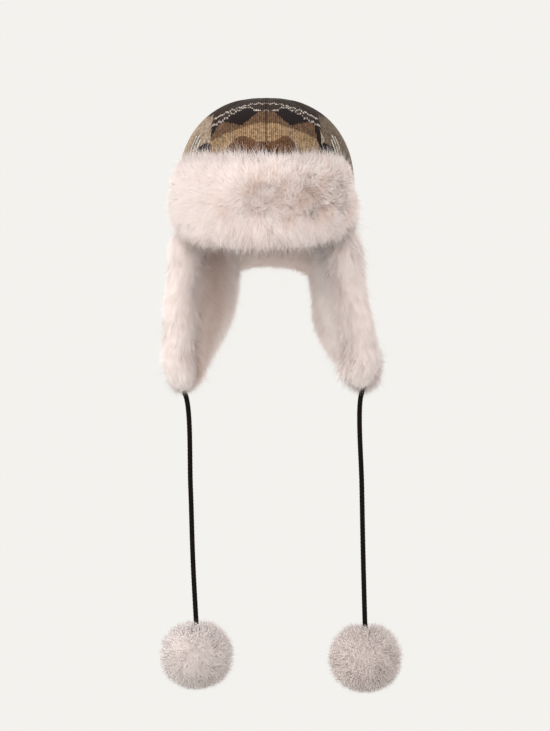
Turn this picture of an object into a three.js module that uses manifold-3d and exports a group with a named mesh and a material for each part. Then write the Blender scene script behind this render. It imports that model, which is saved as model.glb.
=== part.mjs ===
// An earflap hat: a domed crown of eight knitted gores, a turned-up fur cuff over the forehead,
// fur-lined ear flaps and neck flap, and a pompom on a cord below each ear flap.
// Millimetres, +Z up. The front of the hat faces -Y. The origin is the top of the hollow, where the
// crown sits on the head. An azimuth is counted from the front, positive towards +X.

import * as THREE from "three";
import { mergeVertices } from "three/addons/utils/BufferGeometryUtils.js";
import Module from "manifold-3d";

const wasm = await Module();
wasm.setup();

// Driving sizes of the knitted wall
const HOLLOW_HALF_WIDTH = 98;
const HOLLOW_HALF_DEPTH = 109;
const DOME_HEIGHT = 103;
const DOME_POWER = 2.3;
const KNIT = 3;
const RIM_Z = -150;
const GAP = 0.3;

// Plan of the wall: an ellipse in the crown, squarer lower down
const CROWN_POWER = 2;
const FLAP_POWER = 2.4;

// The flaps lean out less and less towards the back, between these azimuths
const FLAP_DROP = 185;
const LEAN_ALL_TO = 125;
const LEAN_NONE_FROM = 176;

// Degrees of azimuth for one millimetre along the wall
const DEGREES_PER_MM = 0.57;

// Crown. A seam runs down the front, a little to the right of the middle of the cuff
const GORES = 8;
const CROWN_TURN = 5;
const GORE_TIP_RADIUS = 1.2;
const GORE_ACROSS = 3;
const GORE_DOWN = 8;
const DOME_SHARE = 0.75;

// Faces across and down the flaps
const FLAP_ACROSS = 7;
const FLAP_DOWN = 7;
const NECK_ACROSS = 8;
const NECK_DOWN = 2;

// Fur
const LINING_DEPTH = 19;
const LINING_TOP_Z = -141;
const PELT = 2;
const BORDER_RADIUS = 14;
const BORDER_OUT = -3;
const BORDER_TOP_Z = -152;
const BORDER_SIDES = 8;
const BORDER_STEPS = 6;
const BORDER_LOCK_ROWS = [
  { place: 0.25, turn: 35 },
  { place: 0.7, turn: 110 },
];
const CUFF_LOCK_ROWS = 4;
const CUFF_LOCK_COLUMNS = 12;
const LOCK_FLATNESS = 0.7;
const LOCK_TIP_BEND = 0.25;

// Where locks are rooted: a share of the border's radius, and a depth below the lining's face
const LOCK_ROOT_SHARE = 0.3;
const LINING_LOCK_ROOT = 6;

// Locks of each kind: least length and how much it varies, width, and where along it the belly lies
const CUFF_LOCK = { length: 18, vary: 5, width: 28, belly: 0.48 };
const BORDER_LOCK = { length: 21, vary: 4, width: 20, belly: 0.48 };
const LINING_LOCK = { length: 30, vary: 5, width: 28, belly: 0.53 };
const POMPOM_LOCK = { length: 21.2, vary: 2.4, width: 28, belly: 0.66 };
const CUFF_DEPTH = 22;
const NECK_FUR_BOTTOM_Z = -204;
const NECK_AZIMUTH = 150;

// The ear flap narrows downwards: azimuths of its front and rear edge at each height
const EAR_FLAP_ROWS = [
  { z: -150.3, front: 71, rear: 149.8 },
  { z: -180, front: 71, rear: 149.8 },
  { z: -215, front: 72, rear: 149.5 },
  { z: -248, front: 74, rear: 146 },
  { z: -273, front: 77, rear: 137 },
  { z: -294, front: 81, rear: 123 },
  { z: -308, front: 86, rear: 110 },
  { z: -315, front: 92, rear: 101 },
];

// Lower edge of the neck flap, from its middle to its end
const NECK_ROWS = [
  { azimuth: 180, z: -170 },
  { azimuth: 168, z: -171 },
  { azimuth: 158, z: -176 },
  { azimuth: 150.2, z: -184 },
];

// Upper and lower edge of the fur cuff, from the middle of the forehead to its end
const CUFF_ROWS = [
  { azimuth: 0, top: -76, bottom: -163 },
  { azimuth: 30, top: -75, bottom: -160 },
  { azimuth: 50, top: -74, bottom: -151 },
  { azimuth: 62, top: -75, bottom: -144 },
  { azimuth: 73, top: -78, bottom: -139 },
];

// How each side hangs: outward lean at the widest height of the flap, inward curl of its tip,
// and the cord from the edge of the knit to the heart of the pompom
const SIDES = [
  {
    name: "left",
    sign: -1,
    lean: 7,
    curl: 5,
    cord: [
      { x: -93.4, y: 9, z: -343 },
      { x: -88.6, y: 7, z: -445 },
      { x: -85.6, y: 5, z: -530 },
    ],
    pompom: { x: -81, y: 3, z: -640 },
  },
  {
    name: "right",
    sign: 1,
    lean: 19,
    curl: 7,
    cord: [
      { x: 107.6, y: 9, z: -343 },
      { x: 109.4, y: 7, z: -445 },
      { x: 111.2, y: 5, z: -530 },
    ],
    pompom: { x: 113.6, y: 3, z: -642 },
  },
];
const CORD_DIAMETER = 5;
const CORD_SIDES = 8;
const CORD_STEP = 4;
const CORD_END_ABOVE_HEART = 28;
const POMPOM_CORE_RADIUS = 32;
const POMPOM_LOCK_ROOT = 19;
const POMPOM_PARTING = 0.84;
const POMPOM_LOCKS = 25;

const KNIT_BROWN = new THREE.MeshStandardMaterial({ color: 0x7d6048, roughness: 0.9, metalness: 0 });
const KNIT_CAMEL = new THREE.MeshStandardMaterial({ color: 0xb3946f, roughness: 0.9, metalness: 0 });
const FUR = new THREE.MeshStandardMaterial({ color: 0xe8dfdb, roughness: 0.95, metalness: 0 });
const POMPOM_FUR = new THREE.MeshStandardMaterial({ color: 0xddd0cb, roughness: 0.95, metalness: 0 });
const CORD = new THREE.MeshStandardMaterial({ color: 0x1e1816, roughness: 0.8, metalness: 0 });

const radians = THREE.MathUtils.degToRad;
const mix = THREE.MathUtils.lerp;
const smooth = THREE.MathUtils.smoothstep;
const DOWN = new THREE.Vector3(0, 0, -1);

// Numbers from 0 to 1 that are the same in every run
function seededRandom(seed) {
  let state = seed;
  return () => {
    state = (state * 1664525 + 1013904223) % 4294967296;
    return state / 4294967296;
  };
}

// Value of a table's column at a key, in straight lines between the rows
function fromTable(rows, keyColumn, column, key) {
  const rising = rows[rows.length - 1][keyColumn] > rows[0][keyColumn];
  const sorted = rising ? rows : [...rows].reverse();
  const above = sorted.findIndex((row) => row[keyColumn] >= key);
  if (above === -1) return sorted[sorted.length - 1][column];
  if (above === 0) return sorted[0][column];
  const low = sorted[above - 1];
  const high = sorted[above];
  const share = (key - low[keyColumn]) / (high[keyColumn] - low[keyColumn]);
  return mix(low[column], high[column], share);
}

// Plan radius of an oval at an azimuth in radians
function ovalRadius(azimuth, halfWidth, halfDepth, power) {
  const across = Math.abs(Math.sin(azimuth) / halfWidth) ** power;
  const along = Math.abs(Math.cos(azimuth) / halfDepth) ** power;
  return (across + along) ** (-1 / power);
}

// How far a side of the hat leans out at an azimuth and height, along X
function lean(azimuth, z) {
  const side = SIDES[azimuth < 0 ? 0 : 1];
  const down = (RIM_Z - z) / FLAP_DROP;
  const out = side.lean * smooth(down, 0.05, 0.8) - side.curl * smooth(down, 0.75, 1);
  const share = 1 - smooth(Math.abs(azimuth), LEAN_ALL_TO, LEAN_NONE_FROM);
  return side.sign * out * share;
}

// A point of the wall at an azimuth in degrees and a height, with its distance out from the hollow
function wallPoint(azimuth, z, out) {
  const angle = radians(azimuth);
  const rise = Math.max(0, z + DOME_HEIGHT) / (DOME_HEIGHT + out);
  const shrink = Math.max(0, 1 - rise ** DOME_POWER) ** (1 / DOME_POWER);
  const power = mix(CROWN_POWER, FLAP_POWER, smooth(-z, 110, 200));
  const radius = shrink * ovalRadius(angle, HOLLOW_HALF_WIDTH + out, HOLLOW_HALF_DEPTH + out, power);
  return new THREE.Vector3(
    radius * Math.sin(angle) + lean(azimuth, z),
    -radius * Math.cos(angle),
    z,
  );
}

// Direction straight out of the wall in plan
function wallNormal(azimuth, z) {
  return wallPoint(azimuth, z, 1).sub(wallPoint(azimuth, z, 0)).setZ(0).normalize();
}

// A geometry from points and triangles, turned so that its faces point out
function closedGeometry(points, triangles) {
  const positions = new Float32Array(points.flatMap((p) => [p.x, p.y, p.z]));
  const volume = triangles.reduce((sum, [a, b, c]) => {
    const cross = new THREE.Vector3().crossVectors(points[b], points[c]);
    return sum + points[a].dot(cross);
  }, 0);
  const turned = volume < 0 ? triangles.map(([a, b, c]) => [a, c, b]) : triangles;
  const geometry = new THREE.BufferGeometry();
  geometry.setAttribute("position", new THREE.BufferAttribute(positions, 3));
  geometry.setIndex(turned.flat());
  return geometry;
}

// A closed solid between two faces, each given as a point for u and v from 0 to 1
function slab(across, down, outerFace, innerFace) {
  const points = [];
  const triangles = [];
  const index = (face, i, j) => face * (across + 1) * (down + 1) + j * (across + 1) + i;
  for (const face of [outerFace, innerFace]) {
    for (let j = 0; j <= down; j += 1) {
      for (let i = 0; i <= across; i += 1) points.push(face(i / across, j / down));
    }
  }
  const quad = (a, b, c, d) => triangles.push([a, b, c], [a, c, d]);
  for (let j = 0; j < down; j += 1) {
    for (let i = 0; i < across; i += 1) {
      quad(index(0, i, j), index(0, i + 1, j), index(0, i + 1, j + 1), index(0, i, j + 1));
      quad(index(1, i, j), index(1, i, j + 1), index(1, i + 1, j + 1), index(1, i + 1, j));
    }
  }
  for (let j = 0; j < down; j += 1) {
    quad(index(0, 0, j), index(0, 0, j + 1), index(1, 0, j + 1), index(1, 0, j));
    quad(index(0, across, j), index(1, across, j), index(1, across, j + 1), index(0, across, j + 1));
  }
  for (let i = 0; i < across; i += 1) {
    quad(index(0, i, 0), index(1, i, 0), index(1, i + 1, 0), index(0, i + 1, 0));
    quad(index(0, i, down), index(0, i + 1, down), index(1, i + 1, down), index(1, i, down));
  }
  return closedGeometry(points, triangles);
}

// A round bar along a path
function bar(path, radius, sides, steps) {
  const section = new THREE.Shape();
  for (let k = 0; k < sides; k += 1) {
    const angle = (2 * Math.PI * k) / sides;
    if (k === 0) section.moveTo(radius, 0);
    else section.lineTo(radius * Math.cos(angle), radius * Math.sin(angle));
  }
  section.closePath();
  return new THREE.ExtrudeGeometry(section, { steps, extrudePath: path });
}

// A lock of fur: a flat four-sided spindle from a root inside its backing, through a ring round its
// belly, where it is widest, to a tip that bends
function lock({ kind, size, root, direction, bend }) {
  const { width, belly } = kind;
  const length = kind.length + size * kind.vary;
  const ahead = direction.clone().normalize();
  const side = new THREE.Vector3().crossVectors(ahead, bend).normalize();
  const top = new THREE.Vector3().crossVectors(side, ahead).normalize();
  const centre = root.clone().addScaledVector(ahead, length * belly);
  const tip = root.clone().addScaledVector(ahead, length).addScaledVector(bend, length * LOCK_TIP_BEND);
  const points = [
    root,
    centre.clone().addScaledVector(side, width / 2),
    centre.clone().addScaledVector(top, (LOCK_FLATNESS * width) / 2),
    centre.clone().addScaledVector(side, -width / 2),
    centre.clone().addScaledVector(top, (-LOCK_FLATNESS * width) / 2),
    tip,
  ];
  const triangles = [];
  for (let k = 0; k < 4; k += 1) {
    const here = 1 + k;
    const next = 1 + ((k + 1) % 4);
    triangles.push([0, next, here], [here, next, 5]);
  }
  return closedGeometry(points, triangles);
}

// A solid for joining and cutting
function solid(geometry) {
  const bare = geometry.clone();
  bare.deleteAttribute("normal");
  bare.deleteAttribute("uv");
  const merged = mergeVertices(bare, 1e-4);
  return new wasm.Manifold(
    new wasm.Mesh({
      numProp: 3,
      vertProperties: new Float32Array(merged.attributes.position.array),
      triVerts: new Uint32Array(merged.index.array),
    }),
  );
}

// A geometry from a solid
function geometryOf(body) {
  const mesh = body.getMesh();
  const geometry = new THREE.BufferGeometry();
  geometry.setAttribute("position", new THREE.BufferAttribute(mesh.vertProperties, 3));
  geometry.setIndex(new THREE.BufferAttribute(mesh.triVerts, 1));
  return geometry;
}

const hat = new THREE.Group();

function addPiece(name, geometry, material, parent = hat) {
  const mesh = new THREE.Mesh(geometry, material);
  mesh.name = name;
  parent.add(mesh);
  return mesh;
}

// One gore of the crown: it narrows to the top and keeps half a seam's gap on both edges
function crownGore(middle, innerOut, outerOut, growth) {
  const tipAngle = Math.asin((GORE_TIP_RADIUS / HOLLOW_HALF_WIDTH) ** (DOME_POWER / 2));
  const face = (out) => (u, v) => {
    const angle = mix(tipAngle, Math.PI / 2, Math.min(1, v / DOME_SHARE));
    const rise = Math.max(0, Math.cos(angle)) ** (2 / DOME_POWER);
    const radius = HOLLOW_HALF_WIDTH * Math.sin(angle) ** (2 / DOME_POWER);
    const wallZ = mix(-DOME_HEIGHT, RIM_Z - growth, (v - DOME_SHARE) / (1 - DOME_SHARE));
    const z = v <= DOME_SHARE ? -DOME_HEIGHT + (DOME_HEIGHT + out) * rise : wallZ;
    const seam = THREE.MathUtils.radToDeg(Math.asin(GAP / 2 / radius));
    const halfAngle = 180 / GORES - seam + growth;
    return wallPoint(middle + (2 * u - 1) * halfAngle, z, out);
  };
  return slab(GORE_ACROSS, GORE_DOWN, face(outerOut), face(innerOut));
}

// Azimuth of the middle of a gore. The first one lies beside the middle of the back
function goreMiddle(k) {
  return CROWN_TURN - 180 + ((k + 0.5) * 360) / GORES;
}

const crown = new THREE.Group();
hat.add(crown);
for (let k = 0; k < GORES; k += 1) {
  const knit = k % 2 ? KNIT_BROWN : KNIT_CAMEL;
  addPiece("crown_gore_" + (k + 1), crownGore(goreMiddle(k), 0, KNIT, 0), knit, crown);
}

// The room that the crown's wall takes up, with the gap that its neighbours keep
const crownRoom = Array.from({ length: GORES }, (_, k) => {
  return solid(crownGore(goreMiddle(k), -GAP, KNIT + GAP, GAP));
}).reduce((whole, gore) => whole.add(gore));

// Edges of the ear flap at a share of its height, through the rows of its table
const earFlapCurve = new THREE.CatmullRomCurve3(
  EAR_FLAP_ROWS.map((row) => new THREE.Vector3(row.front, row.rear, row.z)),
);

// The wall of an ear flap between two distances from the hollow, grown at its edges for a cutter
function earFlapWall(sign, innerOut, outerOut, growth) {
  const face = (out) => (u, v) => {
    const row = earFlapCurve.getPoint(v);
    const spread = growth * DEGREES_PER_MM;
    const z = row.z + mix(growth, -growth, v);
    return wallPoint(sign * mix(row.x - spread, row.y + spread, u), z, out);
  };
  return slab(FLAP_ACROSS, FLAP_DOWN, face(outerOut), face(innerOut));
}

// Lower edge of the neck flap at an azimuth on either side
function neckEdge(azimuth) {
  return fromTable(NECK_ROWS, "azimuth", "z", Math.abs(azimuth));
}

// The wall of the neck flap, in the same way
function neckFlapWall(innerOut, outerOut, growth) {
  const half = 180 - NECK_ROWS[NECK_ROWS.length - 1].azimuth + growth * DEGREES_PER_MM;
  const face = (out) => (u, v) => {
    const azimuth = 180 + (2 * u - 1) * half;
    const z = mix(RIM_Z - GAP + growth, neckEdge(azimuth > 180 ? 360 - azimuth : azimuth) - growth, v);
    return wallPoint(azimuth > 180 ? azimuth - 360 : azimuth, z, out);
  };
  return slab(NECK_ACROSS, NECK_DOWN, face(outerOut), face(innerOut));
}

const flaps = new THREE.Group();
hat.add(flaps);
for (const { name, sign } of SIDES) {
  addPiece("ear_flap_" + name, earFlapWall(sign, 0, KNIT, 0), KNIT_BROWN, flaps);
}
addPiece("neck_flap", neckFlapWall(0, KNIT, 0), KNIT_BROWN, flaps);

// Thickness of fur at a place on its pelt: full in the middle and round at all four edges
function furDepth(u, v, depth) {
  const acrossEdge = Math.abs(2 * u - 1) ** 4;
  const downEdge = Math.abs(2 * v - 1) ** 3;
  return PELT + (depth - PELT) * Math.sqrt((1 - acrossEdge) * (1 - downEdge));
}

// A body with locks joined to it, one for each root
function withLocks(body, roots) {
  return roots.reduce((whole, root) => whole.add(solid(lock(root))), body);
}

// The fur cuff: a thick pelt over the front of the crown, whose locks part upwards, sideways and down
function cuffFur() {
  const random = seededRandom(11);
  const end = CUFF_ROWS[CUFF_ROWS.length - 1].azimuth;
  const azimuthAt = (u) => (2 * u - 1) * end;
  const heightAt = (u, v) => {
    const away = Math.abs(azimuthAt(u));
    const top = fromTable(CUFF_ROWS, "azimuth", "top", away);
    const bottom = fromTable(CUFF_ROWS, "azimuth", "bottom", away);
    return mix(top, bottom, v);
  };
  const outer = (u, v) => wallPoint(azimuthAt(u), heightAt(u, v), KNIT + furDepth(u, v, CUFF_DEPTH));
  const inner = (u, v) => wallPoint(azimuthAt(u), heightAt(u, v), KNIT);
  const roots = [];
  for (let row = 0; row < CUFF_LOCK_ROWS; row += 1) {
    for (let column = 0; column < CUFF_LOCK_COLUMNS; column += 1) {
      const v = mix(0.13, 0.87, row / (CUFF_LOCK_ROWS - 1));
      const u = mix(0.06, 0.94, (column + (row % 2) * 0.5 + 0.3 * random()) / (CUFF_LOCK_COLUMNS - 0.3));
      const azimuth = azimuthAt(u);
      const z = heightAt(u, v);
      const rootShare = mix(0.6, 0.2, Math.abs(2 * v - 1));
      const out = wallNormal(azimuth, z);
      const along = new THREE.Vector3(-out.y, out.x, 0);
      const upwards = Math.cos(Math.PI * v) + 0.4 * (random() - 0.5);
      const sideways = 0.5 * (2 * u - 1) ** 3 + 0.9 * (random() - 0.5);
      const direction = out.clone().multiplyScalar(0.7).addScaledVector(along, sideways);
      roots.push({
        root: wallPoint(azimuth, z, KNIT + furDepth(u, v, CUFF_DEPTH) * rootShare),
        direction: direction.setZ(upwards),
        bend: new THREE.Vector3(0, 0, upwards > 0 ? 1 : -1).addScaledVector(out, -0.6).normalize(),
        kind: CUFF_LOCK,
        size: random(),
      });
    }
  }
  return withLocks(solid(slab(12, 5, outer, inner)), roots).subtract(crownRoom);
}

addPiece("cuff_fur", geometryOf(cuffFur()), FUR);

// A fur border: a round roll along a path
function borderRoll(path) {
  return solid(bar(path, BORDER_RADIUS, BORDER_SIDES, BORDER_STEPS));
}

// Roots of locks along a border, on its outer, free and inner side. The heart is the middle of the flap
function borderRoots(path, heart, count, random) {
  const roots = [];
  for (let k = 0; k < count; k += 1) {
    for (const { place, turn } of BORDER_LOCK_ROWS) {
      const share = mix(0.08, 0.97, (k + place) / count);
      const centre = path.getPointAt(share);
      const along = path.getTangentAt(share);
      const out = centre.clone().setZ(0).normalize();
      const free = centre.clone().sub(heart);
      free.addScaledVector(along, -free.dot(along)).addScaledVector(out, -free.dot(out)).normalize();
      const angle = radians(turn + 30 * (random() - 0.5));
      const face = out.multiplyScalar(Math.cos(angle)).addScaledVector(free, Math.sin(angle));
      roots.push({
        root: centre.addScaledVector(face, BORDER_RADIUS * LOCK_ROOT_SHARE),
        direction: face.clone().multiplyScalar(0.6).addScaledVector(DOWN, 0.8),
        bend: face.clone().multiplyScalar(-0.7).addScaledVector(DOWN, 0.7),
        kind: BORDER_LOCK,
        size: random(),
      });
    }
  }
  return roots;
}

// Roots of the locks on the inner face of a lining, all combed down
function liningRoots(faceAt, rows, columns, random) {
  const roots = [];
  for (let row = 0; row < rows; row += 1) {
    for (let column = 0; column < columns; column += 1) {
      const v = (row + 0.5 + 0.2 * random()) / (rows + 0.4);
      const u = (column + 0.25 + (row % 2) * 0.5) / columns;
      const point = faceAt(u, v);
      const inwards = point.clone().setZ(0).normalize().negate();
      roots.push({
        root: point.addScaledVector(inwards, -LINING_LOCK_ROOT),
        direction: inwards.clone().multiplyScalar(0.45).addScaledVector(DOWN, 0.9),
        bend: inwards.clone().multiplyScalar(-0.7).addScaledVector(DOWN, 0.7),
        kind: LINING_LOCK,
        size: random(),
      });
    }
  }
  return roots;
}

// The room over the back of the head that belongs to the neck's fur, between two azimuths
function neckRoom(growth) {
  const reach = 2 * HOLLOW_HALF_DEPTH;
  const spread = radians(180 - NECK_AZIMUTH + growth * DEGREES_PER_MM);
  const section = new THREE.Shape();
  section.moveTo(0, 0);
  section.lineTo(reach * Math.sin(spread), reach * Math.cos(spread));
  section.lineTo(-reach * Math.sin(spread), reach * Math.cos(spread));
  section.closePath();
  const height = -DOME_HEIGHT - NECK_FUR_BOTTOM_Z;
  const wedge = new THREE.ExtrudeGeometry(section, { depth: height + growth, bevelEnabled: false });
  return solid(wedge.translate(0, 0, NECK_FUR_BOTTOM_Z - growth));
}

// The path of a cord, from the tip of the knitted flap to inside the pompom
function cordPath(side, longer) {
  const tipRow = EAR_FLAP_ROWS[EAR_FLAP_ROWS.length - 1];
  const tipAzimuth = side.sign * ((tipRow.front + tipRow.rear) / 2);
  const start = wallPoint(tipAzimuth, tipRow.z - GAP, KNIT / 2);
  start.z += longer;
  const heart = new THREE.Vector3(side.pompom.x, side.pompom.y, side.pompom.z);
  const end = heart.clone().setZ(heart.z + CORD_END_ABOVE_HEART - longer);
  const between = side.cord.map((p) => new THREE.Vector3(p.x, p.y, p.z));
  const below = start.clone().addScaledVector(DOWN, CORD_DIAMETER);
  return new THREE.CatmullRomCurve3([start, below, ...between, end]);
}

// A cord, or the room that it takes up
function cordBar(side, growth) {
  const path = cordPath(side, growth);
  const steps = Math.round(path.getLength() / (CORD_STEP * CORD_DIAMETER));
  const flatToCorner = 1 / Math.cos(Math.PI / CORD_SIDES);
  return bar(path, CORD_DIAMETER / 2 + growth * flatToCorner, CORD_SIDES, steps);
}

// Lining and border of an ear flap. The border runs down both free edges and meets itself at the tip
function earFlapFur(side) {
  const random = seededRandom(side.sign > 0 ? 23 : 37);
  const tipRow = EAR_FLAP_ROWS[EAR_FLAP_ROWS.length - 1];
  const tip = wallPoint(side.sign * ((tipRow.front + tipRow.rear) / 2), tipRow.z + 2, BORDER_OUT);
  const heart = wallPoint(side.sign * 110, -235, BORDER_OUT);
  const edgePath = (column, from) => {
    const points = [0, 0.2, 0.4, 0.6, 0.8, 0.94].map((share) => {
      const row = earFlapCurve.getPoint(mix(from, 1, share));
      const azimuth = column === "front" ? row.x + 2 : row.y - 2;
      return wallPoint(side.sign * azimuth, Math.min(row.z, BORDER_TOP_Z), BORDER_OUT);
    });
    return new THREE.CatmullRomCurve3([...points, tip]);
  };
  const front = edgePath("front", 0);
  const rear = edgePath("rear", 0.26);
  const face = (depthAt) => (u, v) => {
    const row = earFlapCurve.getPoint(v);
    const z = row.z + (LINING_TOP_Z - RIM_Z) * (1 - v) ** 8;
    return wallPoint(side.sign * mix(row.x, row.y, u), z, depthAt(u, v));
  };
  const inner = face((u, v) => -furDepth(0.5, v, LINING_DEPTH));
  const lining = solid(slab(FLAP_ACROSS, FLAP_DOWN, face(() => 0), inner));
  const ball = new THREE.IcosahedronGeometry(BORDER_RADIUS, 1).translate(tip.x, tip.y, tip.z);
  const backing = lining.add(borderRoll(front)).add(borderRoll(rear)).add(solid(ball));
  const roots = [
    ...borderRoots(front, heart, 5, random),
    ...borderRoots(rear, heart, 4, random),
    ...liningRoots(inner, 4, 3, random),
  ];
  return withLocks(backing, roots)
    .subtract(solid(earFlapWall(side.sign, -GAP, KNIT + GAP, GAP)))
    .subtract(crownRoom)
    .subtract(neckRoom(GAP))
    .subtract(solid(cordBar(side, GAP)));
}

// Lining and border of the neck flap
function neckFur() {
  const random = seededRandom(51);
  const half = 180 - NECK_AZIMUTH;
  const azimuthAt = (u) => {
    const azimuth = 180 + (2 * u - 1) * half;
    return azimuth > 180 ? azimuth - 360 : azimuth;
  };
  const face = (depthAt) => (u, v) => {
    const azimuth = azimuthAt(u);
    return wallPoint(azimuth, mix(LINING_TOP_Z, neckEdge(azimuth), v), depthAt(v));
  };
  const inner = face((v) => -furDepth(0.5, v, LINING_DEPTH));
  const lining = solid(slab(NECK_ACROSS, 4, face(() => 0), inner));
  const edge = [-0.05, 0.12, 0.3, 0.5, 0.7, 0.88, 1.05].map((u) => {
    const azimuth = azimuthAt(u);
    return wallPoint(azimuth, neckEdge(azimuth) + 2, BORDER_OUT);
  });
  const path = new THREE.CatmullRomCurve3(edge);
  const heart = wallPoint(180, RIM_Z, BORDER_OUT);
  const roots = [...borderRoots(path, heart, 5, random), ...liningRoots(inner, 1, 5, random)];
  return withLocks(lining.add(borderRoll(path)), roots)
    .subtract(solid(neckFlapWall(-GAP, KNIT + GAP, GAP)))
    .subtract(crownRoom)
    .intersect(neckRoom(0));
}

for (const side of SIDES) {
  addPiece("ear_flap_fur_" + side.name, geometryOf(earFlapFur(side)), FUR, flaps);
}
addPiece("neck_fur", geometryOf(neckFur()), FUR, flaps);

// A pompom: locks round a core, evenly spread by the golden angle, which part round the cord. The
// cord's end has a pocket in the core
function pompom(side) {
  const random = seededRandom(side.sign > 0 ? 71 : 83);
  const heart = new THREE.Vector3(side.pompom.x, side.pompom.y, side.pompom.z);
  const core = new THREE.IcosahedronGeometry(POMPOM_CORE_RADIUS, 1).translate(heart.x, heart.y, heart.z);
  const goldenAngle = Math.PI * (3 - Math.sqrt(5));
  const roots = [];
  for (let k = 0; k < POMPOM_LOCKS; k += 1) {
    const up = mix(POMPOM_PARTING, -0.97, k / (POMPOM_LOCKS - 1));
    const round = Math.sqrt(1 - up * up);
    const away = new THREE.Vector3(round * Math.cos(k * goldenAngle), round * Math.sin(k * goldenAngle), up);
    const swirl = new THREE.Vector3(-away.y, away.x, 0.3 * random());
    roots.push({
      root: heart.clone().addScaledVector(away, POMPOM_LOCK_ROOT),
      direction: away.clone().addScaledVector(swirl, 0.2 * (random() - 0.3)),
      bend: swirl.normalize(),
      kind: POMPOM_LOCK,
      size: random(),
    });
  }
  return withLocks(solid(core), roots).subtract(solid(cordBar(side, GAP)));
}

const ties = new THREE.Group();
hat.add(ties);
for (const side of SIDES) {
  addPiece("cord_" + side.name, cordBar(side, 0), CORD, ties);
  addPiece("pompom_" + side.name, geometryOf(pompom(side)), POMPOM_FUR, ties);
}

export default hat;
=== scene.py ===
"""An earflap hat: a knitted crown, a turned-up fur cuff, fur-lined flaps, and two cords with pompoms.

Sizes are in millimetres, and a mesh becomes metres as it is finished. The front of the hat faces -Y.
An azimuth is in degrees from the front, positive towards +X, and down is a share from a top edge.
"""
import math
from types import SimpleNamespace

import bmesh
import bpy
import numpy as np
from mathutils import Matrix, Vector
from mathutils.kdtree import KDTree

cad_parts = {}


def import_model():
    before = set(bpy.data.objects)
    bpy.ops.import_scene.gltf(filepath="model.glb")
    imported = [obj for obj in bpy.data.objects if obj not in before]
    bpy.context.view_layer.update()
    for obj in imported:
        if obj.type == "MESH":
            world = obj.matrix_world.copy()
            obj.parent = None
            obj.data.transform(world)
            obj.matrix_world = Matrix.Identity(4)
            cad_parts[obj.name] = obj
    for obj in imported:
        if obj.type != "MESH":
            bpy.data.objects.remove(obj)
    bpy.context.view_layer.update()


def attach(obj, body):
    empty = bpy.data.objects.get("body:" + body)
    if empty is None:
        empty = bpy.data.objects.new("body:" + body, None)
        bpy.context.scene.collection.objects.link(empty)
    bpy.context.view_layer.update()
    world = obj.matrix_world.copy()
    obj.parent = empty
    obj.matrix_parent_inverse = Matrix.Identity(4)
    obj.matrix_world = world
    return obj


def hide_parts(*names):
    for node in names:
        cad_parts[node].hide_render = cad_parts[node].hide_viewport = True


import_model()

MM = 0.001

# The knitted wall, as the solids have it
HALF_WIDTH = 98
HALF_DEPTH = 109
DOME_HEIGHT = 103
DOME_POWER = 2.3
CROWN_POWER = 2
FLAP_POWER = 2.4
KNIT = 3
RIM_Z = -150
GAP = 0.3
GORES = 8
CROWN_TURN = 5
DOME_SHARE = 0.75
LEAN_ALL_TO = 125
LEAN_NONE_FROM = 176
FLAP_DROP = 185

EAR_FLAP_ROWS = [
    {"front": 71, "rear": 149.8, "z": -150.3},
    {"front": 71, "rear": 149.8, "z": -180},
    {"front": 72, "rear": 149.5, "z": -215},
    {"front": 74, "rear": 146, "z": -248},
    {"front": 77, "rear": 137, "z": -273},
    {"front": 81, "rear": 123, "z": -294},
    {"front": 86, "rear": 110, "z": -308},
    {"front": 92, "rear": 101, "z": -315},
]
NECK_ROWS = [
    {"away": 0, "z": -170},
    {"away": 12, "z": -171},
    {"away": 22, "z": -176},
    {"away": 29.8, "z": -184},
]
CUFF_ROWS = [
    {"away": 0, "top": -76, "bottom": -163},
    {"away": 30, "top": -75, "bottom": -160},
    {"away": 50, "top": -74, "bottom": -151},
    {"away": 62, "top": -75, "bottom": -144},
    {"away": 73, "top": -78, "bottom": -139},
]
LEFT = SimpleNamespace(
    name="left",
    sign=-1,
    lean=7,
    curl=5,
    cord=[(-93.4, 9, -343), (-88.6, 7, -445), (-85.6, 5, -530)],
    pompom=(-81, 3, -640),
    pompom_brightest=1,
    flap_seed=37,
    pompom_seed=83,
)
RIGHT = SimpleNamespace(
    name="right",
    sign=1,
    lean=19,
    curl=7,
    cord=[(107.6, 9, -343), (109.4, 7, -445), (111.2, 5, -530)],
    pompom=(113.6, 3, -642),
    # The right pompom's hairs are held darker than the left one's: painted shade
    pompom_brightest=0.5,
    flap_seed=23,
    pompom_seed=71,
)
CORD_DIAMETER = 5
CORD_END_ABOVE_HEART = 28

# Fur
CUFF_DEPTH = 22
LINING_DEPTH = 19
LINING_TOP_Z = -141

# Knitting: width of a wale, height of a course, and how far a wale stands out
WALE = 2.1
COURSE = 1.7
RIB = 0.35
SEAM_DIP = 1.2
SEAM_WIDTH = 1.6

# A knitted piece's UV map runs over this many millimetres both ways
MAP_SPAN = 300


def mix(low, high, share):
    return low + (high - low) * share


def smooth(x, low, high):
    t = np.clip((x - low) / (high - low), 0, 1)
    return t * t * (3 - 2 * t)


def unit(vectors):
    return vectors / np.maximum(np.linalg.norm(vectors, axis=-1, keepdims=True), 1e-9)


def from_table(rows, key, column, at):
    return np.interp(at, [row[key] for row in rows], [row[column] for row in rows])


def waves(points, size, seed):
    """A smooth random number from about -1 to 1 at each point, with bumps of about that size."""
    rng = np.random.default_rng(seed)
    total = 0
    for _ in range(5):
        way = unit(rng.normal(size=3)) * 2 * math.pi / (size * rng.uniform(1.4, 2.6))
        total = total + np.sin(points @ way + rng.uniform(0, 2 * math.pi))
    return total / 3


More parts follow.
